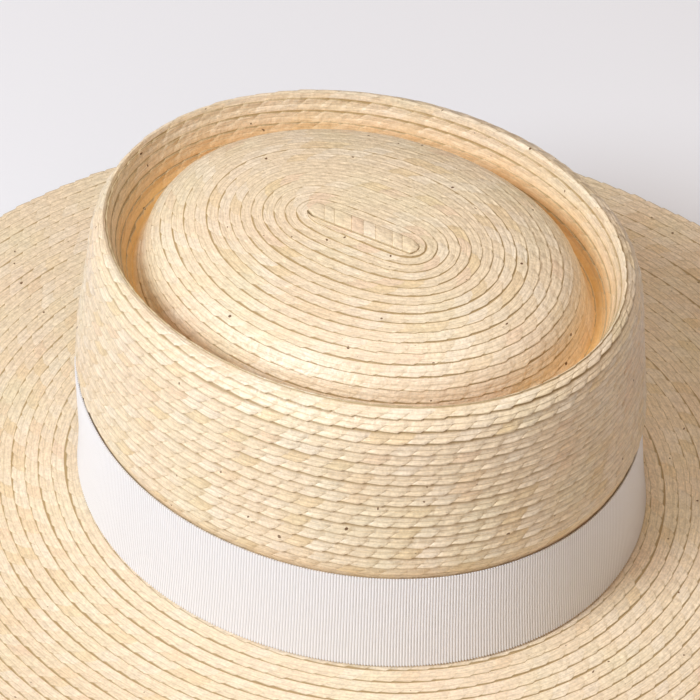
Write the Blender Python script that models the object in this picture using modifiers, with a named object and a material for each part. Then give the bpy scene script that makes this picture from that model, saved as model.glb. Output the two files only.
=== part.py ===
"""Straw hat: a crown with a groove round its domed top, a wide flat brim and a ribbon.

Metres, +Z up. X runs across the head, Y runs from the front (-Y) to the back, and the origin is the
middle of the brim's underside, on the surface that the hat rests on.
"""

import math

import bpy

# Straw
straw_wall = 0.0020
crown_length = 0.1972  # outside, front to back, where the crown stands on the brim
crown_width = 0.1740
crown_height = 0.1112  # the crown's lip above the surface that the hat rests on
groove_depth = 0.0190  # the bottom of the groove below the lip
dome_height = 0.0260  # the middle of the domed disc above the bottom of the groove
brim_reach_ends = 0.0901  # past the crown, in front and behind
brim_reach_sides = 0.0931
brim_rise = 0.0025  # the brim's top at the crown above its top at the edge
squareness = 2.03  # the ovals' exponent, 2 for a plain ellipse
front_fullness = 0.01  # share by which an oval's front is wider than its middle, and its back narrower
foot_radius = 0.0030  # the concave round between the brim and its collar
collar_height = 0.0045  # the straight part of the collar, up to the crown

# Ribbon
ribbon_wall = 0.0010
ribbon_width = 0.0377
ribbon_lift = 0.0012  # the ribbon's lower edge above the brim
lap_length = 0.0280  # how far the ribbon's outer end lies over its inner end

# Fit and fineness
seat_gap = 0.0003  # between neighbours that touch
around = 64  # facets round the hat, a multiple of four
foot_steps = 4

# Heights that follow from the sizes above
brim_top = straw_wall + brim_rise
foot_top = brim_top + foot_radius
collar_top = foot_top + collar_height
ribbon_bottom = brim_top + ribbon_lift
ribbon_top = ribbon_bottom + ribbon_width
groove_bottom = crown_height - groove_depth

# The crown's side, from the brim to the lip. height: share of the way from the ribbon's upper edge
# to the lip. length, width: shares of crown_length and crown_width. back: how far the oval's middle
# lies behind the origin, as a share of crown_length.
crown_side = [
    {"height": 0.000, "length": 0.983, "width": 0.968, "back": 0.0000},
    {"height": 0.075, "length": 1.000, "width": 0.984, "back": 0.0030},
    {"height": 0.280, "length": 0.999, "width": 0.978, "back": 0.0046},
    {"height": 0.540, "length": 0.982, "width": 0.956, "back": 0.0018},
    {"height": 0.760, "length": 0.968, "width": 0.937, "back": -0.0010},
    {"height": 0.865, "length": 0.960, "width": 0.925, "back": -0.0015},
    {"height": 0.940, "length": 0.947, "width": 0.902, "back": -0.0010},
    {"height": 0.984, "length": 0.931, "width": 0.867, "back": 0.0000},
    {"height": 1.000, "length": 0.917, "width": 0.833, "back": 0.0000},
]

# The groove, from the lip to its bottom. depth: share of groove_depth below the lip.
crown_groove = [
    {"depth": 0.20, "length": 0.899, "width": 0.816},
    {"depth": 0.64, "length": 0.866, "width": 0.785},
    {"depth": 0.92, "length": 0.842, "width": 0.765},
    {"depth": 1.00, "length": 0.820, "width": 0.748},
]

# The domed disc inside the groove. rise: share of dome_height above the bottom of the groove.
crown_disc = [
    {"rise": 0.090, "length": 0.799, "width": 0.731},
    {"rise": 0.335, "length": 0.778, "width": 0.713},
    {"rise": 0.505, "length": 0.760, "width": 0.694},
    {"rise": 0.645, "length": 0.728, "width": 0.657},
    {"rise": 0.800, "length": 0.640, "width": 0.558},
    {"rise": 0.930, "length": 0.460, "width": 0.360},
    {"rise": 0.985, "length": 0.240, "width": 0.120},
]

# The brim from its edge inwards. reach: share of the way out from the collar. rise: share of brim_rise.
brim_rows = [
    {"reach": 1.00, "rise": 0.00},
    {"reach": 0.62, "rise": 0.00},
    {"reach": 0.36, "rise": 0.38},
    {"reach": 0.14, "rise": 0.86},
]


def rounded(value):
    """A sine or cosine drawn out to the ovals' squareness."""
    return math.copysign(abs(value) ** (2 / squareness), value)


def oval(half_width, half_length, height, steps=range(around), back=0):
    """Points of one level oval, from +X towards +Y."""
    points = []
    for step in steps:
        angle = math.tau * step / around
        along = rounded(math.sin(angle))
        across = rounded(math.cos(angle)) * (1 - front_fullness * along)
        points.append((half_width * across, half_length * along + back, height))
    return points


def straw_oval(row, height):
    """One oval of the crown, from a row of its tables."""
    back = row.get("back", 0) * crown_length
    return oval(row["width"] * crown_width / 2, row["length"] * crown_length / 2, height, back=back)


def side_size(height):
    """Half width and half length of the crown's side or the collar, between the brim and the ribbon's top."""
    up = min(max((height - collar_top) / (ribbon_top - collar_top), 0), 1)
    waist = crown_side[0]
    width_share = 1 + (waist["width"] - 1) * up
    length_share = 1 + (waist["length"] - 1) * up
    return width_share * crown_width / 2, length_share * crown_length / 2


def ribbon_clearance(height):
    """How far the ribbon's inner face lies outside the straw's side, clear of the round at its foot."""
    below_foot_top = max(foot_top - height, 0)
    return foot_radius - math.sqrt((foot_radius - seat_gap) ** 2 - below_foot_top**2)


def skin(name, rows, closed):
    """An open surface through rows of points. A closed one joins each row's last point to its first."""
    count = len(rows[0])
    points = [point for row in rows for point in row]
    faces = []
    for row in range(len(rows) - 1):
        for step in range(count if closed else count - 1):
            near = row * count + step
            far = row * count + (step + 1) % count
            faces.append((near, far, far + count, near + count))
    mesh = bpy.data.meshes.new(name)
    mesh.from_pydata(points, [], faces)
    return mesh


def close_middle(mesh, count, middle):
    """Joins the last row of points to one point in the middle."""
    points = [vertex.co[:] for vertex in mesh.vertices] + [middle]
    faces = [tuple(face.vertices) for face in mesh.polygons]
    last = len(points) - 1
    first = last - count
    faces += [(first + step, first + (step + 1) % count, last) for step in range(count)]
    mesh.clear_geometry()
    mesh.from_pydata(points, [], faces)


def finish(name, mesh, wall, offset, colour, roughness, collection):
    """Shades the surface, gives it its wall and its material, and puts it in the collection."""
    mesh.shade_smooth()
    mesh.set_sharp_from_angle(angle=math.radians(50))
    body = bpy.data.objects.new(name, mesh)
    collection.objects.link(body)
    solidify = body.modifiers.new("wall", "SOLIDIFY")
    solidify.thickness = wall
    solidify.offset = offset
    solidify.use_even_offset = True
    material = bpy.data.materials.new(name)
    material.use_nodes = True
    surface = material.node_tree.nodes["Principled BSDF"]
    surface.inputs["Base Color"].default_value = colour
    surface.inputs["Roughness"].default_value = roughness
    surface.inputs["Metallic"].default_value = 0
    mesh.materials.append(material)
    return body


def make_crown(collection):
    half_width, half_length = side_size(collar_top)
    rows = [oval(half_width, half_length, collar_top + seat_gap)]
    for row in crown_side:
        height = ribbon_top + row["height"] * (crown_height - ribbon_top)
        rows.append(straw_oval(row, height))
    for row in crown_groove:
        height = crown_height - row["depth"] * groove_depth
        rows.append(straw_oval(row, height))
    for row in crown_disc:
        height = groove_bottom + row["rise"] * dome_height
        rows.append(straw_oval(row, height))
    mesh = skin("crown", rows, closed=True)
    close_middle(mesh, around, (0, 0, groove_bottom + dome_height))
    return finish("crown", mesh, straw_wall, -1, (0.80, 0.62, 0.38, 1), 0.6, collection)


def make_brim(collection):
    half_width, half_length = side_size(collar_top)
    rows = []
    for row in brim_rows:
        height = straw_wall + row["rise"] * brim_rise
        wide = half_width + row["reach"] * brim_reach_sides
        long = half_length + row["reach"] * brim_reach_ends
        rows.append(oval(wide, long, height))
    for step in range(foot_steps + 1):
        turn = math.radians(90) * step / foot_steps
        out = foot_radius * (1 - math.sin(turn))
        height = foot_top - foot_radius * math.cos(turn)
        rows.append(oval(half_width + out, half_length + out, height))
    rows.append(oval(half_width, half_length, collar_top))
    mesh = skin("brim", rows, closed=True)
    return finish("brim", mesh, straw_wall, -1, (0.80, 0.62, 0.38, 1), 0.6, collection)


def make_ribbon(collection):
    """A strip that starts at +X, goes once round the straw, and laps over its own start."""
    girth = math.pi * (crown_length + crown_width) / 2
    lap_steps = max(1, round(lap_length / girth * around))
    rise_steps = 3  # the outer end climbs onto the inner end over this many facets
    heights = [ribbon_bottom, (ribbon_bottom + foot_top) / 2, foot_top, collar_top, ribbon_top]
    rows = []
    for height in heights:
        half_width, half_length = side_size(height)
        clear = ribbon_clearance(height)
        row = []
        for step in range(around + lap_steps + 1):
            climb = min(max((step - around + rise_steps) / rise_steps, 0), 1)
            out = clear + climb * (ribbon_wall + seat_gap)
            row += oval(half_width + out, half_length + out, height, [step])
        rows.append(row)
    mesh = skin("ribbon", rows, closed=False)
    return finish("ribbon", mesh, ribbon_wall, 1, (0.86, 0.85, 0.86, 1), 0.7, collection)


def main():
    for old in list(bpy.data.objects):
        bpy.data.objects.remove(old)
    hat = bpy.data.collections.new("straw_hat")
    bpy.context.scene.collection.children.link(hat)
    make_crown(hat)
    make_brim(hat)
    make_ribbon(hat)


main()
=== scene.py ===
# Straw hat: one long palm plait sewn round and round, and a grosgrain ribbon. Metres, +Z up.
# It rests on its brim on a pale table, in soft light from the left.
import math

import bpy
import numpy as np
from mathutils import Matrix, Vector


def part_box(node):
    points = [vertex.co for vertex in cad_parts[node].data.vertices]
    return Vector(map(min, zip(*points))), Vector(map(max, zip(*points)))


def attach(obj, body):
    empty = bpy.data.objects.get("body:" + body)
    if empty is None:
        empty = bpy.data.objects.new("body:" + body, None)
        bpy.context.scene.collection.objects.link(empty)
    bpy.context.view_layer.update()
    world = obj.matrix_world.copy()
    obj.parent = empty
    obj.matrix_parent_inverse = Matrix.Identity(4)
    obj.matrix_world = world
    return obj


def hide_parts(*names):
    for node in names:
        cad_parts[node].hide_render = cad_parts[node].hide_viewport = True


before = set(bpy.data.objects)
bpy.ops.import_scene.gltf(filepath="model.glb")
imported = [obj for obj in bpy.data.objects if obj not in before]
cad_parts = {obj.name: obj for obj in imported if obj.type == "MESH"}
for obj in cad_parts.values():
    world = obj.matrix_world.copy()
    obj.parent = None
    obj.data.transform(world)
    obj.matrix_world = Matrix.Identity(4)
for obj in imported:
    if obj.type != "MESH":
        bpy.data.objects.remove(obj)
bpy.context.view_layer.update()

crownLow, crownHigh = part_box("crown")
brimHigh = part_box("brim")[1]
ribbonLow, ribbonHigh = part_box("ribbon")

hat = {
    "halfWidth": crownHigh[0],      # outside of the crown where it stands on the brim
    "halfLength": -crownLow[1],
    "dome": 0.0260,                 # disc's middle above the groove's bottom
    "groove": 0.0190,               # lip above the groove's bottom
    "waist": 0.99,                  # size half way down behind the ribbon, as a share of the crown's
    "foot": 0.0030,                 # concave round between brim and crown
    "footTurns": (30, 60, 90),      # degrees round it, from the crown down to the brim
    "brimTop": 0.0045,              # mean top of the brim at the crown
    "brimFlat": 0.0014,             # and at its edge
    "squareness": 2.03,             # ovals' exponent, 2 for a plain ellipse
    "fullness": 0.01,               # an oval's front is wider than its back by this share
    "startSquareness": 0.35,        # how blunt the rows are round the straight start
    "startFades": 0.050,            # half width at which the rows are plain ovals
}

# From the middle of the disc down to the brim's edge. length, width: shares of halfLength and halfWidth.
# back: how far an oval's middle lies behind the origin, as a share of the crown's length.
discRings = [   # rise: share of the dome above the groove's bottom
    {"rise": 1.000, "length": 0.164, "width": 0.000},
    {"rise": 0.985, "length": 0.268, "width": 0.120},
    {"rise": 0.930, "length": 0.466, "width": 0.360},
    {"rise": 0.800, "length": 0.640, "width": 0.558},
    {"rise": 0.645, "length": 0.728, "width": 0.657},
    {"rise": 0.505, "length": 0.760, "width": 0.694},
    {"rise": 0.335, "length": 0.778, "width": 0.713},
    {"rise": 0.090, "length": 0.799, "width": 0.731},
    {"rise": 0.000, "length": 0.820, "width": 0.748},
]
grooveRings = [   # rise: share of the groove's depth above its bottom
    {"rise": 0.080, "length": 0.842, "width": 0.765},
    {"rise": 0.360, "length": 0.866, "width": 0.785},
    {"rise": 0.800, "length": 0.899, "width": 0.816},
    {"rise": 1.000, "length": 0.917, "width": 0.833},
]
sideRings = [   # rise: share of the way from the ribbon's upper edge to the lip
    {"rise": 0.984, "length": 0.931, "width": 0.867, "back": 0.0000},
    {"rise": 0.940, "length": 0.947, "width": 0.902, "back": -0.0010},
    {"rise": 0.865, "length": 0.960, "width": 0.925, "back": -0.0015},
    {"rise": 0.760, "length": 0.968, "width": 0.937, "back": -0.0010},
    {"rise": 0.540, "length": 0.982, "width": 0.956, "back": 0.0018},
    {"rise": 0.280, "length": 0.999, "width": 0.978, "back": 0.0046},
    {"rise": 0.075, "length": 1.000, "width": 0.984, "back": 0.0030},
    {"rise": 0.000, "length": 0.983, "width": 0.968, "back": 0.0000},
]
brimRings = [   # reach: share of the way out from the foot. rise: share of brimTop above brimFlat
    {"reach": 0.14, "rise": 0.86},
    {"reach": 0.36, "rise": 0.38},
    {"reach": 0.62, "rise": 0.00},
    {"reach": 1.00, "rise": 0.00},
]


def hatRings():   # half width, half length, height and back of each oval
    width, length = hat["halfWidth"], hat["halfLength"]
    grooveHeight = crownHigh[2] - hat["dome"]
    ribbonTop = ribbonHigh[2]
    sideHeight = grooveHeight + hat["groove"] - ribbonTop
    footTop = hat["brimTop"] + hat["foot"]
    ovals = []
    for table, bottom, depth in ((discRings, grooveHeight, hat["dome"]),
                                 (grooveRings, grooveHeight, hat["groove"]),
                                 (sideRings, ribbonTop, sideHeight)):
        for row in table:
            height = bottom + row["rise"] * depth
            back = row.get("back", 0) * 2 * length
            ovals.append((row["width"] * width, row["length"] * length, height, back))
    ovals.append((width * hat["waist"], length * hat["waist"], (ribbonTop + footTop) / 2, 0))
    ovals.append((width, length, footTop, 0))
    for turn in hat["footTurns"]:
        out = hat["foot"] * (1 - math.cos(math.radians(turn)))
        height = footTop - hat["foot"] * math.sin(math.radians(turn))
        ovals.append((width + out, length + out, height, 0))
    reachSides, reachEnds = brimHigh[0] - width, brimHigh[1] - length
    for row in brimRings:
        height = hat["brimFlat"] + row["rise"] * (hat["brimTop"] - hat["brimFlat"])
        ovals.append((width + row["reach"] * reachSides, length + row["reach"] * reachEnds, height, 0))
    return np.array(ovals)


plait = {
    "pitch": 0.00445,           # width of the tile that all others are stretched from
    "tile": 0.0073,             # its length
    "brimTile": 0.0063,         # a tile's length on the brim
    "under": 0.25,              # share of a row's width tucked under the row inside it
    "thickness": 0.00080,
    "underDrop": 1.1,           # the underside's fall towards the tucked edge, in steps
    "step": 0.00050,            # a row's outer edge above the next row
    "crease": 0.56,             # share across the row at which the two courses of strands meet
    "creaseHalf": 0.03,         # half the crease's width, as such a share
    "creaseWave": 0.00020,      # how far the crease drifts out along a tile
    "scallop": 0.00045,         # how far a tile's edge drifts out before the next tile starts
    "tileRise": 0.00020,        # a tile's end above the start of the next
    "innerRise": 0.4,           # share of that rise inside the crease
    "slant": 1.0,               # run of a tile's border along the row for each row width it crosses
    "smooth": 38,               # degrees, the sharpest fold that is shaded round
    "firstTurn": 0.76,          # of the spiral, at the end of the straight start
    "turnPoints": 400,          # points in each turn of its route
    "seed": 7,
    "shiftSpread": 0.028,       # of single tiles' outer edges, in rows
    "liftSpread": 0.00005,
    "wanderSpread": 0.035,      # of the whole row, in rows
    "wanderTiles": 3.5,         # from one drift of the row to the next
}

# Pairs of a ring, numbered from the middle, and a value that runs straight to the next pair's.
pitches = [   # from one row to the next
    (0, 0.0037), (3, 0.0041), (7, 0.0047), (12, 0.0041), (16, 0.0042), (20, 0.0047), (29, 0.0047),
]
reliefs = [   # share of the tile's own heights: low on the disc, bold on the side, flat behind the ribbon
    (7, 0.46), (11, 0.60), (14, 1.30), (19, 1.45), (20, 0.30), (25, 0.30), (26, 0.46),
]
seats = [(19, 0.00030), (20, 0), (25, 0), (26, 0.00030)]   # the rows' mean face below the hat's own
paintedWarmShades = [   # share of the painted orange shade and bounced glow in the groove, and in the corner at the brim
    (7, 0), (8, 1), (9, 0.8), (11, 0), (19, 0), (20, 0.4), (24, 0),
]

rings = hatRings()
lipRing = len(discRings) + len(grooveRings) - 1
waistRing = lipRing + len(sideRings) + 1
brimRing = len(rings) - len(brimRings)

meanRadius = (rings[:, 0] + rings[:, 1]) / 2
ringDown = np.concatenate([[0], np.cumsum(np.hypot(np.diff(meanRadius), np.diff(rings[:, 2])))])
ringPitch = np.interp(range(len(rings)), *zip(*pitches))
ringTile = np.interp(range(len(rings)), [waistRing, brimRing], [plait["tile"], plait["brimTile"]])
ringRow = np.concatenate([[0], np.cumsum(np.diff(ringDown) * 2 / (ringPitch[1:] + ringPitch[:-1]))])
ringSlope = np.gradient(rings, ringRow, axis=0)
rowCount = ringRow[-1]
lastTurn = rowCount - 0.5   # past it the row grows no more, so that the brim ends level


def byRow(table, row):
    ringNumbers, values = zip(*table)
    return np.interp(row, ringRow[list(ringNumbers)], values)


def throughRings(row):   # half width, half length, height and back, smooth from ring to ring
    first = np.clip(np.searchsorted(ringRow, row, side="right") - 1, 0, len(ringRow) - 2)
    span = ringRow[first + 1] - ringRow[first]
    at = ((row - ringRow[first]) / span)[..., None]
    span = span[..., None]
    return ((2 * at**3 - 3 * at**2 + 1) * rings[first] + (at**3 - 2 * at**2 + at) * span * ringSlope[first]
            + (3 * at**2 - 2 * at**3) * rings[first + 1] + (at**3 - at**2) * span * ringSlope[first + 1])


def rounded(value):
    return np.copysign(np.abs(value) ** (2 / hat["squareness"]), value)


def onHat(row, angle):   # point of the straw's outer face
    halfWidth, halfLength, height, back = np.moveaxis(throughRings(row), -1, 0)
    cosine, sine = np.cos(angle), np.sin(angle)
    fade = np.clip(halfWidth / hat["startFades"], 0, 1)
    blunt = hat["startSquareness"] + (1 - hat["startSquareness"]) * fade * fade * (3 - 2 * fade)
    bluntSine = sine / np.sqrt(sine**2 + (blunt * cosine) ** 2)
    x = halfWidth * rounded(cosine) * (1 - hat["fullness"] * rounded(sine))
    y = halfWidth * rounded(sine) + (halfLength - halfWidth) * bluntSine + back
    return np.stack([x, y, height], axis=-1)


def outward(row, angle):   # the outer face's normal
    small = 1e-3
    down = onHat(row + small, angle) - onHat(row - small, angle)
    along = onHat(row, angle + small) - onHat(row, angle - small)
    normal = np.cross(down, along)
    return normal / np.maximum(np.linalg.norm(normal, axis=-1, keepdims=True), 1e-12)


def spiralAngle(turns):
    return turns * math.tau - math.pi


def plaitRoute():   # turns of the spiral against tiles laid so far
    turns = np.arange(plait["firstTurn"], lastTurn + 1, 1 / plait["turnPoints"])
    points = onHat(np.minimum(turns, lastTurn), spiralAngle(turns))
    length = np.linalg.norm(np.diff(points, axis=0), axis=1)
    tiles = np.concatenate([[0], np.cumsum(length / np.interp(turns[1:], ringRow, ringTile))])
    return turns, tiles


routeTurns, routeTiles = plaitRoute()
print(f"plait: {rowCount:.1f} rows, {routeTiles[-1]:.0f} tiles")


def edit(obj):
    bpy.ops.object.select_all(action="DESELECT")
    obj.select_set(True)
    bpy.context.view_layer.objects.active = obj
    bpy.ops.object.mode_set(mode="EDIT")
    bpy.ops.mesh.select_mode(type="VERT")
    bpy.ops.mesh.select_all(action="DESELECT")


def pick(obj, test):   # selects the vertices that pass, in edit mode
    bpy.ops.mesh.select_all(action="DESELECT")
    bpy.ops.object.mode_set(mode="OBJECT")
    for vertex in obj.data.vertices:
        vertex.select = test(vertex.co)
    bpy.ops.object.mode_set(mode="EDIT")


def nudge(obj, test, offset):
    pick(obj, test)
    bpy.ops.transform.translate(value=offset)


def near(a, b):
    return abs(a - b) < 1e-6


def flatGrid(name, columns, rows):   # a grid whose lines lie at these places along and across
    wide = 1        # metres, so that no line meets another's final place while they move
    close = 0.05    # less than from one line to the next
    bpy.ops.object.select_all(action="DESELECT")
    bpy.ops.mesh.primitive_grid_add(x_subdivisions=len(columns) - 1, y_subdivisions=len(rows) - 1,
                                    size=wide, location=(wide / 2, wide / 2, 0))
    obj = bpy.context.object
    obj.name = obj.data.name = name
    bpy.ops.object.transform_apply(location=True, rotation=False, scale=False)
    edit(obj)
    for i, column in enumerate(columns):
        was = wide * i / (len(columns) - 1)
        nudge(obj, lambda co: abs(co.x - was) < close, (column - was, 0, 0))
    for j, row in enumerate(rows):
        was = wide * j / (len(rows) - 1)
        nudge(obj, lambda co: abs(co.y - was) < close, (0, row - was, 0))
    return obj


# How much painted shade a tile takes at the foot of its outer wall, on its outer edge and on its borders
lines = {"wall": 1.0, "edge": 0.30, "border": 0.13}


def markLines(obj, tests):   # each test finds the vertices of one kind of line, and the kind with the most painted shade wins
    bpy.ops.object.mode_set(mode="OBJECT")
    marks = obj.data.attributes.new("lines", "FLOAT", "POINT")
    for vertex, mark in zip(obj.data.vertices, marks.data):
        mark.value = max(lines[kind] * test(vertex.co) for kind, test in tests.items())


def plaitTile():   # one tile of the plait: along +X, and across +Y from the tucked edge to the outer edge
    length, pitch, step = plait["tile"], plait["pitch"], plait["step"]
    under, crease, creaseHalf = plait["under"], plait["crease"], plait["creaseHalf"]
    lift = {-under: -0.25, 0.02: 0.0, crease - creaseHalf: 0.62, crease + creaseHalf: 0.20,
            0.80: 0.80, 0.92: 1.04, 1.0: 0.90}   # height of each line across, in steps
    columns = [   # at: share of the tile's length. drift: in scallops. climb: in tile rises
        {"at": 0.00, "drift": -0.50, "climb": 0.00},
        {"at": 0.08, "drift": -0.42, "climb": 0.40},
        {"at": 0.36, "drift": -0.10, "climb": 0.70},
        {"at": 0.68, "drift": 0.22, "climb": 0.95},
        {"at": 0.92, "drift": 0.50, "climb": 1.00},
        {"at": 1.00, "drift": -0.50, "climb": 0.00},
    ]
    obj = flatGrid("plait_tile", [column["at"] * length for column in columns], [v * pitch for v in lift])
    for v, high in lift.items():
        nudge(obj, lambda co: near(co.y, v * pitch), (0, 0, high * step))
    pick(obj, lambda co: near(co.y, pitch))   # from the outer edge, down and back under to the tucked edge
    down = Vector((0, 0, -plait["thickness"]))
    back = Vector((0, -(1 + under) * pitch, -plait["underDrop"] * step))
    for offset in (down, 0.3 * back, 0.3 * back, 0.4 * back):
        bpy.ops.mesh.extrude_region_move(TRANSFORM_OT_translate={"value": offset})
    pick(obj, lambda co: near(co.y, -under * pitch))
    bpy.ops.mesh.bridge_edge_loops()

    def onTop(co):   # not on the underside
        return co.z > -0.4 * step

    def onBorder(co):   # of the outermost strand
        return (near(co.x, 0) or near(co.x, length)) and co.y > 0.75 * pitch

    # painted shade in the gaps: under the outer wall, along the outer edge, at the borders and the crease
    markLines(obj, {
        "wall": lambda co: near(co.y, pitch) and not onTop(co),
        "edge": lambda co: near(co.y, pitch),
        "border": lambda co: onBorder(co) or near(co.y, (crease + creaseHalf) * pitch),
    })
    bpy.ops.object.mode_set(mode="EDIT")
    for column in columns:
        rise = column["climb"] * plait["tileRise"]
        innerRise = plait["innerRise"] * rise
        wave = column["drift"] * plait["creaseWave"]
        scallop = column["drift"] * plait["scallop"]
        here = lambda co: near(co.x, column["at"] * length)
        nudge(obj, lambda co: here(co) and onTop(co) and 0 < co.y < crease * pitch, (0, 0, innerRise))
        nudge(obj, lambda co: here(co) and onTop(co) and co.y > crease * pitch, (0, 0, rise))
        nudge(obj, lambda co: here(co) and abs(co.y / pitch - crease) < 0.1, (0, wave, 0))
        nudge(obj, lambda co: here(co) and co.y > 0.9 * pitch, (0, scallop, 0))
    bpy.ops.mesh.select_all(action="SELECT")
    bpy.ops.mesh.normals_make_consistent(inside=False)
    bpy.ops.object.mode_set(mode="OBJECT")
    return obj


def repeated(name, unit, spacing, count):   # copies of a unit in a row along +X, merged into one mesh
    obj = unit.copy()
    obj.data = unit.data.copy()
    obj.name = obj.data.name = name
    bpy.context.scene.collection.objects.link(obj)
    bpy.ops.object.select_all(action="DESELECT")
    obj.select_set(True)
    bpy.context.view_layer.objects.active = obj
    row = obj.modifiers.new("row", "ARRAY")
    row.count = count
    row.use_relative_offset = False
    row.use_constant_offset = True
    row.constant_offset_displace = (spacing, 0, 0)
    row.use_merge_vertices = True
    row.merge_threshold = 2e-5
    bpy.ops.object.modifier_apply(modifier="row")
    return obj


def coordinates(obj):
    points = np.empty(len(obj.data.vertices) * 3, np.float32)
    obj.data.vertices.foreach_get("co", points)
    return points.reshape(-1, 3).astype(float)


def place(obj, points, along, across, paintedWarmShade=0, relief=0):
    # along and across stay on the points as the UV map weave, and the others as attributes
    mesh = obj.data
    while mesh.uv_layers:
        mesh.uv_layers.remove(mesh.uv_layers[0])
    layer = mesh.uv_layers.new(name="weave")
    corners = np.empty(len(mesh.loops), np.int32)
    mesh.loops.foreach_get("vertex_index", corners)
    layer.data.foreach_set("uv", np.stack([along, across], axis=1)[corners].astype(np.float32).ravel())
    # the first attribute is the share of painted warm shade, the second the plait's boldness
    for name, value in (("paintedWarmShade", paintedWarmShade), ("relief", relief)):
        marks = mesh.attributes.new(name, "FLOAT", "POINT")
        marks.data.foreach_set("value", np.full(len(points), value, np.float32))
    mesh.vertices.foreach_set("co", points.astype(np.float32).ravel())
    mesh.update()


def eased(value):
    value = np.clip(value, 0, 1)
    return value * value * (3 - 2 * value)


# Each tile strays a little, and so does the whole row every few tiles. Both lists have some to spare.
tileTotal = int(routeTiles[-1]) - 1
chance = np.random.default_rng(plait["seed"])
tileShift = chance.normal(0, plait["shiftSpread"], tileTotal + 2)
tileLift = chance.normal(0, plait["liftSpread"], tileTotal + 2)
wanderTiles = np.arange(0, tileTotal + 8, plait["wanderTiles"])
wanderRows = chance.normal(0, plait["wanderSpread"], len(wanderTiles))


def layPlait(name, unit, firstTile, lastTile):   # a stretch of the spiral
    obj = repeated(name, unit, plait["tile"], lastTile - firstTile)
    edit(obj)
    bpy.ops.mesh.select_non_manifold()
    bpy.ops.mesh.fill_holes(sides=0)
    bpy.ops.object.mode_set(mode="OBJECT")
    co = coordinates(obj)
    along = co[:, 0] / plait["tile"] + firstTile
    across = co[:, 1] / plait["pitch"]
    tile = np.floor(along - 1e-3).astype(int)
    outside = np.clip(across, 0, 1)
    slant = plait["slant"] * plait["pitch"] / plait["tile"]
    turns = np.interp(along + slant * (1 - outside**2), routeTiles, routeTurns)
    inner = np.minimum(turns, lastTurn) - 0.5
    wander = np.interp(along, wanderTiles, wanderRows)
    row = inner + across + wander + tileShift[tile] * outside**2
    angle = spiralAngle(turns)
    relief = byRow(reliefs, row)
    tuckedEnd = np.maximum(turns - lastTurn, 0) * plait["step"] / 2
    height = (co[:, 2] + tileLift[tile] * outside) * relief - tuckedEnd - byRow(seats, row)
    points = onHat(row, angle) + height[:, None] * outward(row, angle)
    place(obj, points, along, across, byRow(paintedWarmShades, row), relief)
    bpy.ops.object.shade_smooth_by_angle(angle=math.radians(plait["smooth"]))
    return obj


def tileAt(ring):
    return int(np.interp(ringRow[ring], routeTurns, routeTiles))


lipTile, waistTile, footTile = tileAt(lipRing), tileAt(waistRing), tileAt(brimRing - 1)
midBrimTile = (footTile + tileTotal) // 2
stretches = [
    {"name": "crown_top", "first": 0, "last": lipTile, "node": "crown"},
    {"name": "crown_side", "first": lipTile, "last": waistTile, "node": "crown"},
    {"name": "crown_band", "first": waistTile, "last": footTile, "node": "crown"},
    {"name": "brim_inner", "first": footTile, "last": midBrimTile, "node": "brim"},
    {"name": "brim_outer", "first": midBrimTile, "last": tileTotal, "node": "brim"},
]
oneTile = plaitTile()
straw = []
for stretch in stretches:
    piece = layPlait(stretch["name"], oneTile, stretch["first"], stretch["last"])
    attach(piece, "root")
    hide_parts(stretch["node"])
    straw.append(piece)
    faces = len(piece.data.polygons)
    print(f"{stretch['name']}: tiles {stretch['first']} to {stretch['last']}, {faces} faces")
bpy.data.objects.remove(oneTile)


start = {                   # the plait's first length, laid straight from front to back
    "halfWidth": 0.0034,
    "halfLength": 0.0205,
    "round": 0.0042,        # length of its rounded ends
    "blunt": 0.92,          # how far they close, 1 for a point
    "sink": 0.00025,        # how far they dip under the rows round them
    "tiles": 8,
    "tile": 0.0060,
    "slant": 0.56,          # run of a border towards the back for each metre across
    "waver": 0.0008,        # how far the borders stray from even spacing
    "wavers": 2.5,          # times from end to end
    "rise": 0.00020,
    "thickness": 0.0006,
    "lift": 0.00034,        # its face above the hat's own
    "firstLeaf": 3,         # the tile of the plait whose leaf it takes first
    "leafMiddle": 0.5,      # across a row, so that it stays clear of the painted shade at the row's inner edge
    "leafReach": 0.3,
}


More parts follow.
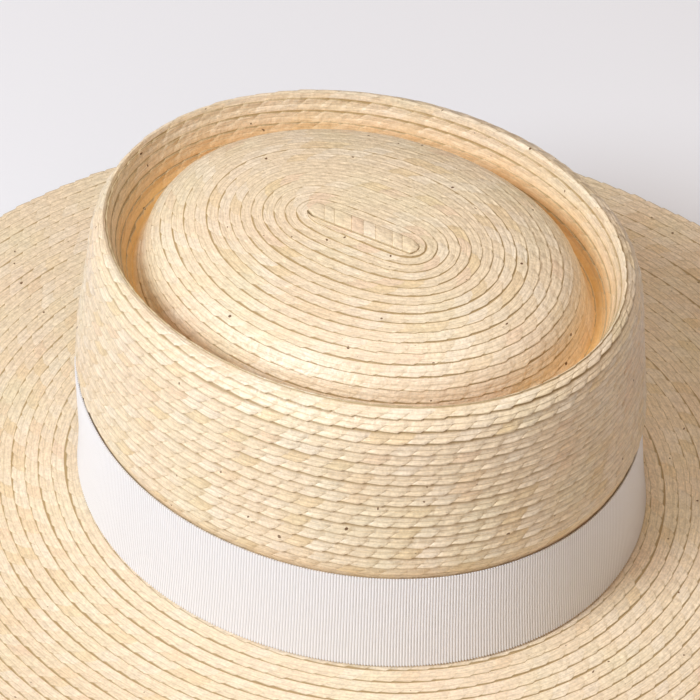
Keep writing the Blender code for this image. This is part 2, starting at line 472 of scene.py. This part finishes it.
def makeStart():
    length, half = start["tile"], start["halfWidth"]
    climb = {0: 0, 0.05: 0.80, 0.45: 0.90, 0.94: 1, 1: 0}                     # along a tile, in rises
    swell = {-1: 0.2, -0.86: 1, -0.3: 1.25, 0.3: 1.25, 0.86: 1, 1: 0.2}       # across it
    unit = flatGrid("start_tile", [s * length for s in climb], [v * half for v in swell])
    for s, high in climb.items():
        nudge(unit, lambda co: near(co.x, s * length), (0, 0, high * start["rise"]))
    for v, high in swell.items():
        nudge(unit, lambda co: near(co.y, v * half), (0, 0, high * start["rise"]))
    # painted shade along the start's edges and tile borders
    markLines(unit, {
        "edge": lambda co: near(abs(co.y), half),
        "border": lambda co: near(co.x, 0) or near(co.x, length),
    })
    obj = repeated("crown_start", unit, length, start["tiles"])
    bpy.data.objects.remove(unit)
    wall = obj.modifiers.new("wall", "SOLIDIFY")
    wall.thickness = start["thickness"]
    wall.offset = -1
    bpy.ops.object.modifier_apply(modifier="wall")
    co = coordinates(obj)
    share = co[:, 0] / (start["tiles"] * length) * 2 - 1
    y = share * start["halfLength"]
    past = np.clip((np.abs(y) - start["halfLength"] + start["round"]) / start["round"], 0, 1)
    x = co[:, 1] * np.sqrt(1 - start["blunt"] * past**2)
    waver = start["waver"] * np.sin(start["wavers"] * 2 * np.pi * share)
    y = y - start["slant"] * x * (1 - past) + waver * (1 - past)
    middleHalf = discRings[0]["length"] * hat["halfLength"]
    row = np.hypot(x, np.maximum(np.abs(y) - middleHalf, 0)) / pitches[0][1]
    z = throughRings(row)[:, 2] + co[:, 2] + start["lift"] - start["sink"] * past**2
    across = start["leafMiddle"] + start["leafReach"] * co[:, 1] / half
    place(obj, np.stack([x, -y, z], axis=1), co[:, 0] / length + start["firstLeaf"], across)
    edit(obj)
    bpy.ops.mesh.select_all(action="SELECT")
    bpy.ops.mesh.normals_make_consistent(inside=False)
    bpy.ops.object.mode_set(mode="OBJECT")
    bpy.ops.object.shade_smooth_by_angle(angle=math.radians(plait["smooth"]))
    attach(obj, "root")
    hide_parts("crown")
    return obj


straw.append(makeStart())


ribbon = {
    "rib": 0.00099,          # from one rib to the next
    "ribDepth": 0.00024,
    "bead": 0.00040,         # how far the edges are notched between the ribs
    "thickness": 0.0005,
    "clear": 0.0003,         # off the straw, and off the inner end at the lap
    "footClear": 0.0011,     # more at the lower edge, where the straw turns out to the brim
    "footPower": 3,          # how fast that fades upwards
    "lap": 0.028,
    "lapRise": 0.010,        # length over which the outer end climbs onto the inner end
    "flare": 0.0043,         # the upper edge stands off the straw at the back
    "flareAngle": 100,       # degrees from +X
    "flareSpread": 25,
    "flarePower": 1.3,       # how fast it fades downwards
    "smooth": 50,            # degrees, the sharpest fold that is shaded round
}
ribbonWidth = ribbonHigh[2] - ribbonLow[2]


def ribbonOval(up):   # half width and half length of the ribbon's outer face at a share of its width
    top = sideRings[-1]
    footClear = ribbon["footClear"] * (1 - up) ** ribbon["footPower"]
    clear = ribbon["clear"] + footClear + ribbon["thickness"]
    return (hat["halfWidth"] * (1 + (top["width"] - 1) * up) + clear,
            hat["halfLength"] * (1 + (top["length"] - 1) * up) + clear)


def onRibbon(distance, up, out):
    halfWidth, halfLength = ribbonOval(up)
    angle = np.interp(distance, ribbonRoute, ribbonAngles)
    cosine, sine = rounded(np.cos(angle)), rounded(np.sin(angle))
    normal = np.stack([halfLength * np.cos(angle), halfWidth * np.sin(angle), 0 * angle], axis=-1)
    normal /= np.linalg.norm(normal, axis=-1, keepdims=True)
    away = (np.degrees(angle) - ribbon["flareAngle"]) / ribbon["flareSpread"]
    flare = ribbon["flare"] * np.exp(-(away**2)) * eased(up) ** ribbon["flarePower"]
    overlap = eased((distance - (girth - ribbon["lapRise"])) / ribbon["lapRise"])
    lap = overlap * (ribbon["thickness"] + ribbon["clear"])
    base = np.stack([halfWidth * cosine * (1 - hat["fullness"] * sine), halfLength * sine,
                     ribbonLow[2] + up * ribbonWidth], axis=-1)
    return base + normal * (out + flare + lap)[:, None]


ribbonAngles = np.linspace(0, math.tau * 1.2, 2000)   # once round and past the lap
midWidth, midLength = ribbonOval(0.5)
ribbonRoute = np.concatenate([[0], np.cumsum(np.hypot(np.diff(midWidth * np.cos(ribbonAngles)),
                                                      np.diff(midLength * np.sin(ribbonAngles))))])
girth = float(np.interp(math.tau, ribbonAngles, ribbonRoute))


def makeRibbon():
    rib = ribbon["rib"]
    crest = {0: 0, 0.25: 0.75, 0.5: 1, 0.75: 0.75, 1: 0}      # along a rib's pitch, in rib depths
    heights = [0, 0.012, 0.05, 0.35, 0.65, 0.95, 0.988, 1]    # shares of the ribbon's width
    unit = flatGrid("rib", [s * rib for s in crest], [h * ribbonWidth for h in heights])
    for s, high in crest.items():
        here = lambda co: near(co.x, s * rib)
        notch = (1 - high) * ribbon["bead"]
        nudge(unit, here, (0, 0, high * ribbon["ribDepth"]))
        nudge(unit, lambda co: here(co) and near(co.y, ribbonWidth), (0, -notch, 0))
        nudge(unit, lambda co: here(co) and near(co.y, 0), (0, notch, 0))
    bpy.ops.object.mode_set(mode="OBJECT")
    obj = repeated("ribbon_band", unit, rib, round((girth + ribbon["lap"]) / rib))
    bpy.data.objects.remove(unit)
    wall = obj.modifiers.new("wall", "SOLIDIFY")
    wall.thickness = ribbon["thickness"]
    wall.offset = -1
    bpy.ops.object.modifier_apply(modifier="wall")
    co = coordinates(obj)
    up = co[:, 1] / ribbonWidth
    place(obj, onRibbon(co[:, 0], up, co[:, 2]), co[:, 0] / rib, up)
    bpy.ops.object.shade_smooth_by_angle(angle=math.radians(ribbon["smooth"]))
    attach(obj, "root")
    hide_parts("ribbon")
    return obj


band = makeRibbon()
print(f"ribbon: {girth * 1000:.0f} mm round")


def linear(code):   # sRGB hex to linear
    values = [int(code[i:i + 2], 16) / 255 for i in (1, 3, 5)]
    return tuple(v / 12.92 if v <= 0.04045 else ((v + 0.055) / 1.055) ** 2.4 for v in values) + (1,)


def addNode(material, kind, settings=None, links=None):
    # settings: node attributes, or inputs by name or number. links: input to (node, output)
    node = material.node_tree.nodes.new("ShaderNode" + kind)
    for key, value in (settings or {}).items():
        if isinstance(key, str) and hasattr(node, key):
            setattr(node, key, value)
        else:
            node.inputs[key].default_value = value
    for key, (source, output) in (links or {}).items():
        material.node_tree.links.new(source.outputs[output], node.inputs[key])
    return node


def newMaterial(name, roughness, ior):
    material = bpy.data.materials.new(name)
    material.use_nodes = True
    surface = material.node_tree.nodes["Principled BSDF"]
    surface.inputs["Roughness"].default_value = roughness
    surface.inputs["IOR"].default_value = ior
    return material, surface


# Palm leaf, split, bleached and plaited, then sewn and pressed: pale cream, each strand a little
# different, fine veins along it, satin where it is pressed flat, with painted shade on its lines and gaps
# and a painted orange shade in the groove.
palm = {
    "pale": "#F4E4CA", "cream": "#F1DDBD", "gold": "#EBD3A9", "peach": "#F0D6B8", "green": "#EADEBB",
    # The next line is painted light: shade for the plait's lines, shade under each row's edge, and the
    # groove's orange shade and bounced glow. The specks are the straw's own.
    "edge": "#C1AD88", "paintedGapShade": "#B2976C", "speck": "#6B4A2A", "paintedWarmShade": "#DDAB56",
    "leaves": [(0, "pale"), (0.45, "cream"), (0.84, "cream"), (0.93, "gold"), (1, "peach")],
    "strands": 5,                   # a strand comes back after so many tiles
    "strandTiles": 38,              # the length of a leaf, in tiles
    "tileShade": (0.975, 1.015),
    "patch": 0.028,                 # across a patch of warmer or greener straw
    "patchShare": 0.5,
    "warmPatch": (0.48, 0.72),      # of the patches' noise, from none to full
    "greenPatch": (0.48, 0.28),
    "brimWarms": (0.030, 0.006),    # heights, from none to full
    "brimShare": 0.12,
    "vein": 0.00055,                # from one vein to the next
    "veinRun": 1.6,                 # changes of a vein along a tile
    "veinShade": (0.84, 1.08),
    "veinDepth": 0.00014,
    "grain": 0.0009,
    "grainShade": (0.90, 1.05),
    # the painted warm shade's share at its fullest
    "paintedWarmShadeShare": 0.85,
    "speckSpace": 0.0022,           # size of the pattern whose peaks are the specks
    "speckPeaks": (0.855, 0.875),
    "gapShadeFrom": 0.04,               # painted shade at a row's inner edge, under the row above, in shares of its width
    "gapShadeReach": (0.07, 0.34),      # by how bold the plait is there
    "boldness": (0.5, 1.5),
    "edgeMarks": (0.06, 0.22),      # of a tile's lines, from none to full
    "dent": 0.0020,                 # across a dent from the press
    "dentDepth": 0.00045,
    "roughness": 0.42,              # in the mean
    "gloss": (0.32, 0.52),          # over the dents
    "ior": 1.45,
    "skin": 0.8,                    # specular level, of the leaf's own wax
}
noiseSpread = {"From Min": 0.3, "From Max": 0.7}   # nearly all of a noise lies between these


def palmPlait():
    material, surface = newMaterial("bleached_palm_plait", palm["roughness"], palm["ior"])
    surface.inputs["Specular IOR Level"].default_value = palm["skin"]
    weave = addNode(material, "UVMap", {"uv_map": "weave"})
    split = addNode(material, "SeparateXYZ", links={0: (weave, 0)})
    where = addNode(material, "TexCoord")
    # each strand comes back every few tiles, for a few hundred millimetres
    tileNumber = addNode(material, "Math", {"operation": "FLOOR"}, {0: (split, 0)})
    strand = addNode(material, "Math", {"operation": "MODULO", 1: palm["strands"]}, {0: (tileNumber, 0)})
    leafCount = addNode(material, "Math", {"operation": "DIVIDE", 1: palm["strandTiles"]},
                        {0: (tileNumber, 0)})
    leafNumber = addNode(material, "Math", {"operation": "FLOOR"}, {0: (leafCount, 0)})
    strandLeaf = addNode(material, "CombineXYZ", links={0: (strand, 0), 1: (leafNumber, 0)})
    leaf = addNode(material, "TexWhiteNoise", {"noise_dimensions": "2D"}, {"Vector": (strandLeaf, 0)})
    ramp = addNode(material, "ValToRGB", links={"Fac": (leaf, "Value")})
    stops = ramp.color_ramp.elements
    for i, (position, name) in enumerate(palm["leaves"]):
        stop = stops[i] if i < 2 else stops.new(position)   # a new ramp has two
        stop.position = position
        stop.color = linear(palm[name])
    # single tiles a little lighter or darker
    single = addNode(material, "TexWhiteNoise", {"noise_dimensions": "1D"}, {"W": (tileNumber, 0)})
    low, high = palm["tileShade"]
    shade = addNode(material, "MapRange", {"To Min": low, "To Max": high}, {"Value": (single, "Value")})
    tinted = addNode(material, "VectorMath", {"operation": "SCALE"}, {0: (ramp, 0), "Scale": (shade, 0)})
    # wide patches, and the brim a little more peach
    cloud = addNode(material, "TexNoise", {"Scale": 1 / palm["patch"], "Detail": 2.0},
                    {"Vector": (where, "Object")})
    none, full = palm["warmPatch"]
    warm = addNode(material, "MapRange", {"From Min": none, "From Max": full, "To Max": palm["patchShare"]},
                   {"Value": (cloud, "Fac")})
    none, full = palm["greenPatch"]
    green = addNode(material, "MapRange", {"From Min": none, "From Max": full, "To Max": palm["patchShare"]},
                    {"Value": (cloud, "Fac")})
    spot = addNode(material, "SeparateXYZ", links={0: (where, "Object")})
    none, full = palm["brimWarms"]
    brim = addNode(material, "MapRange", {"From Min": none, "From Max": full, "To Max": palm["brimShare"]},
                   {"Value": (spot, 2)})
    peach = addNode(material, "Math", {"operation": "ADD", "use_clamp": True}, {0: (warm, 0), 1: (brim, 0)})
    patched = addNode(material, "Mix", {"data_type": "RGBA", 7: linear(palm["peach"])},
                      {0: (peach, 0), 6: (tinted, 0)})
    greened = addNode(material, "Mix", {"data_type": "RGBA", 7: linear(palm["green"])},
                      {0: (green, 0), 6: (patched, 2)})
    # veins along the strand, and a fine grain
    stretched = addNode(material, "VectorMath", {
        "operation": "MULTIPLY", 1: (palm["veinRun"], plait["pitch"] / palm["vein"], 1)}, {0: (weave, 0)})
    veins = addNode(material, "TexNoise", {"noise_dimensions": "2D", "Scale": 1.0, "Detail": 3.0},
                    {"Vector": (stretched, 0)})
    low, high = palm["veinShade"]
    veinShade = addNode(material, "MapRange", {**noiseSpread, "To Min": low, "To Max": high},
                        {"Value": (veins, "Fac")})
    fine = addNode(material, "TexNoise", {"Scale": 1 / palm["grain"], "Detail": 1.0},
                   {"Vector": (where, "Object")})
    low, high = palm["grainShade"]
    grainShade = addNode(material, "MapRange", {**noiseSpread, "To Min": low, "To Max": high},
                         {"Value": (fine, "Fac")})
    leafShade = addNode(material, "Math", {"operation": "MULTIPLY"}, {0: (veinShade, 0), 1: (grainShade, 0)})
    veined = addNode(material, "VectorMath", {"operation": "SCALE"},
                     {0: (greened, 2), "Scale": (leafShade, 0)})
    # painted shade and glow of light bounced through the straw: the groove darker and more orange
    warmShadeMark = addNode(material, "Attribute", {"attribute_name": "paintedWarmShade"})
    paintedWarmShade = addNode(material, "Math", {"operation": "MULTIPLY", 1: palm["paintedWarmShadeShare"]},
                      {0: (warmShadeMark, "Fac")})
    warmShaded = addNode(material, "Mix", {"data_type": "RGBA", 7: linear(palm["paintedWarmShade"])},
                     {0: (paintedWarmShade, 0), 6: (veined, 0)})
    # a few brown specks
    fleck = addNode(material, "TexNoise", {"Scale": 1 / palm["speckSpace"], "Detail": 0.0},
                    {"Vector": (where, "Object")})
    none, full = palm["speckPeaks"]
    speck = addNode(material, "MapRange", {"From Min": none, "From Max": full}, {"Value": (fleck, "Fac")})
    specked = addNode(material, "Mix", {"data_type": "RGBA", 7: linear(palm["speck"])},
                      {0: (speck, 0), 6: (warmShaded, 2)})
    # painted shade just outside the row above, where its edge shadows the row, wider where the plait is
    # bolder
    relief = addNode(material, "Attribute", {"attribute_name": "relief"})
    (flat, bold), (short, long) = palm["boldness"], palm["gapShadeReach"]
    reach = addNode(material, "MapRange",
                    {"From Min": flat, "From Max": bold, "To Min": short, "To Max": long},
                    {"Value": (relief, "Fac")})
    paintedGapShade = addNode(material, "MapRange", {"From Min": palm["gapShadeFrom"], "To Min": 1.0, "To Max": 0.0},
                   {"Value": (split, 1), "From Max": (reach, 0)})
    tucked = addNode(material, "Mix", {"data_type": "RGBA", 7: linear(palm["paintedGapShade"])},
                     {0: (paintedGapShade, 0), 6: (specked, 2)})
    # and painted shade on the tiles' lines, in the gaps at their outer walls, edges, borders and crease
    marks = addNode(material, "Attribute", {"attribute_name": "lines"})
    none, full = palm["edgeMarks"]
    edge = addNode(material, "MapRange", {"From Min": none, "From Max": full}, {"Value": (marks, "Fac")})
    coloured = addNode(material, "Mix", {"data_type": "RGBA", 7: linear(palm["edge"])},
                       {0: (edge, 0), 6: (tucked, 2)})
    # the veins stand up a little, and the press leaves dents
    dents = addNode(material, "TexNoise", {"Scale": 1 / palm["dent"], "Detail": 3.0},
                    {"Vector": (where, "Object")})
    bump = addNode(material, "Bump", {"Strength": 0.7, "Distance": palm["veinDepth"]},
                   {"Height": (veins, "Fac")})
    dented = addNode(material, "Bump", {"Strength": 0.9, "Distance": palm["dentDepth"]},
                     {"Height": (dents, "Fac"), "Normal": (bump, 0)})
    low, high = palm["gloss"]
    gloss = addNode(material, "MapRange", {**noiseSpread, "To Min": low, "To Max": high},
                    {"Value": (dents, "Fac")})
    material.node_tree.links.new(gloss.outputs[0], surface.inputs["Roughness"])
    material.node_tree.links.new(coloured.outputs[2], surface.inputs["Base Color"])
    material.node_tree.links.new(dented.outputs[0], surface.inputs["Normal"])
    return material


# Cotton and rayon grosgrain, woven with thick weft ribs across it: matt off-white, each rib round
# with painted shade in the valley between, fine warp threads across the ribs.
grosgrain = {
    "rib": "#EEEFF2", "between": "#B4B1B2",
    "lineFrom": 0.36,        # from a rib's middle, in ribs, to where the painted shade of the valley starts
    "thread": 0.00035,       # from one warp thread to the next
    "threadDepth": 0.00005,
    "roughness": 0.75,
    "ior": 1.5,
}


def grosgrainWeave():
    material, surface = newMaterial("off_white_grosgrain", grosgrain["roughness"], grosgrain["ior"])
    weave = addNode(material, "UVMap", {"uv_map": "weave"})
    split = addNode(material, "SeparateXYZ", links={0: (weave, 0)})
    part = addNode(material, "Math", {"operation": "FRACT"}, {0: (split, 0)})
    fromMiddle = addNode(material, "Math", {"operation": "SUBTRACT", 1: 0.5}, {0: (part, 0)})
    away = addNode(material, "Math", {"operation": "ABSOLUTE"}, {0: (fromMiddle, 0)})
    # painted shade in the valley between the ribs
    valleyShadeMask = addNode(material, "MapRange", {"From Min": grosgrain["lineFrom"], "From Max": 0.5},
                   {"Value": (away, 0)})
    coloured = addNode(material, "Mix", {"data_type": "RGBA", 6: linear(grosgrain["rib"]),
                       7: linear(grosgrain["between"])}, {0: (valleyShadeMask, 0)})
    threadTurns = math.tau * ribbonWidth / grosgrain["thread"]
    threads = addNode(material, "Math", {"operation": "MULTIPLY", 1: threadTurns}, {0: (split, 1)})
    wave = addNode(material, "Math", {"operation": "SINE"}, {0: (threads, 0)})
    bump = addNode(material, "Bump", {"Strength": 0.3, "Distance": grosgrain["threadDepth"]},
                   {"Height": (wave, 0)})
    material.node_tree.links.new(coloured.outputs[2], surface.inputs["Base Color"])
    material.node_tree.links.new(bump.outputs[0], surface.inputs["Normal"])
    return material


strawMaterial = palmPlait()
for piece in straw:
    piece.data.materials.clear()
    piece.data.materials.append(strawMaterial)
band.data.materials.clear()
band.data.materials.append(grosgrainWeave())
print("materials done")


table = {"size": 8.0, "colour": "#E9EBF0", "roughness": 0.9, "ior": 1.45}


def makeTable():
    bpy.ops.object.select_all(action="DESELECT")
    bpy.ops.mesh.primitive_plane_add(size=table["size"])
    obj = bpy.context.object
    obj.name = obj.data.name = "table_top"
    # Seamless paper: even and matt
    material, surface = newMaterial("matt_white_paper", table["roughness"], table["ior"])
    surface.inputs["Base Color"].default_value = linear(table["colour"])
    obj.data.materials.append(material)


makeTable()

lights = {
    "key": {"at": (-1.36, 0.58, 1.55), "size": 0.9, "power": 40, "colour": "#F0F7FF"},
    "fill": {"at": (-1.2, -1.0, 1.4), "size": 1.6, "power": 6, "colour": "#FFECDC"},
    "top": {"at": (0.05, 0.0, 2.2), "size": 0.8, "power": 14, "colour": "#FFFCFA"},
}
lightAim = (0, 0, 0.05)
sky = {"colour": "#FFD6B0", "strength": 0.20}


def addLight(name, light):
    data = bpy.data.lights.new(name, "AREA")
    data.shape = "DISK"
    data.size = light["size"]
    data.energy = light["power"]
    data.color = linear(light["colour"])[:3]
    obj = bpy.data.objects.new(name, data)
    bpy.context.scene.collection.objects.link(obj)
    obj.location = light["at"]
    obj.rotation_euler = (Vector(light["at"]) - Vector(lightAim)).to_track_quat("Z", "Y").to_euler()


for name, light in lights.items():
    addLight(name, light)
world = bpy.data.worlds.new("studio")
bpy.context.scene.world = world
world.use_nodes = True
world.node_tree.nodes["Background"].inputs["Color"].default_value = linear(sky["colour"])
world.node_tree.nodes["Background"].inputs["Strength"].default_value = sky["strength"]

camera = {
    "azimuth": -60.851, "elevation": 43.332, "roll": 0.686,   # degrees
    "distance": 1.75269, "aim": (0, 0, 0.0657),
    "right": -0.004032, "up": -0.002010,    # aim moved across the picture
    "lens": 266.67, "sensor": 36,           # mm
}


def addCamera():
    azimuth, elevation, roll = (math.radians(camera[name]) for name in ("azimuth", "elevation", "roll"))
    back = Vector((math.sin(azimuth) * math.cos(elevation), -math.cos(azimuth) * math.cos(elevation),
                   math.sin(elevation)))
    flatRight = Vector((math.cos(azimuth), math.sin(azimuth), 0))
    flatUp = back.cross(flatRight)
    right = flatRight * math.cos(roll) + flatUp * math.sin(roll)
    up = flatUp * math.cos(roll) - flatRight * math.sin(roll)
    at = Vector(camera["aim"]) + right * camera["right"] + up * camera["up"] + back * camera["distance"]
    data = bpy.data.cameras.new("camera")
    data.lens, data.sensor_width, data.clip_end = camera["lens"], camera["sensor"], 50
    obj = bpy.data.objects.new("camera", data)
    bpy.context.scene.collection.objects.link(obj)
    obj.matrix_world = Matrix((right, up, back)).transposed().to_4x4()
    obj.location = at
    bpy.context.scene.camera = obj


addCamera()
scene = bpy.context.scene
scene.view_settings.view_transform = "Standard"
scene.cycles.diffuse_bounces = 8
scene.cycles.max_bounces = 12
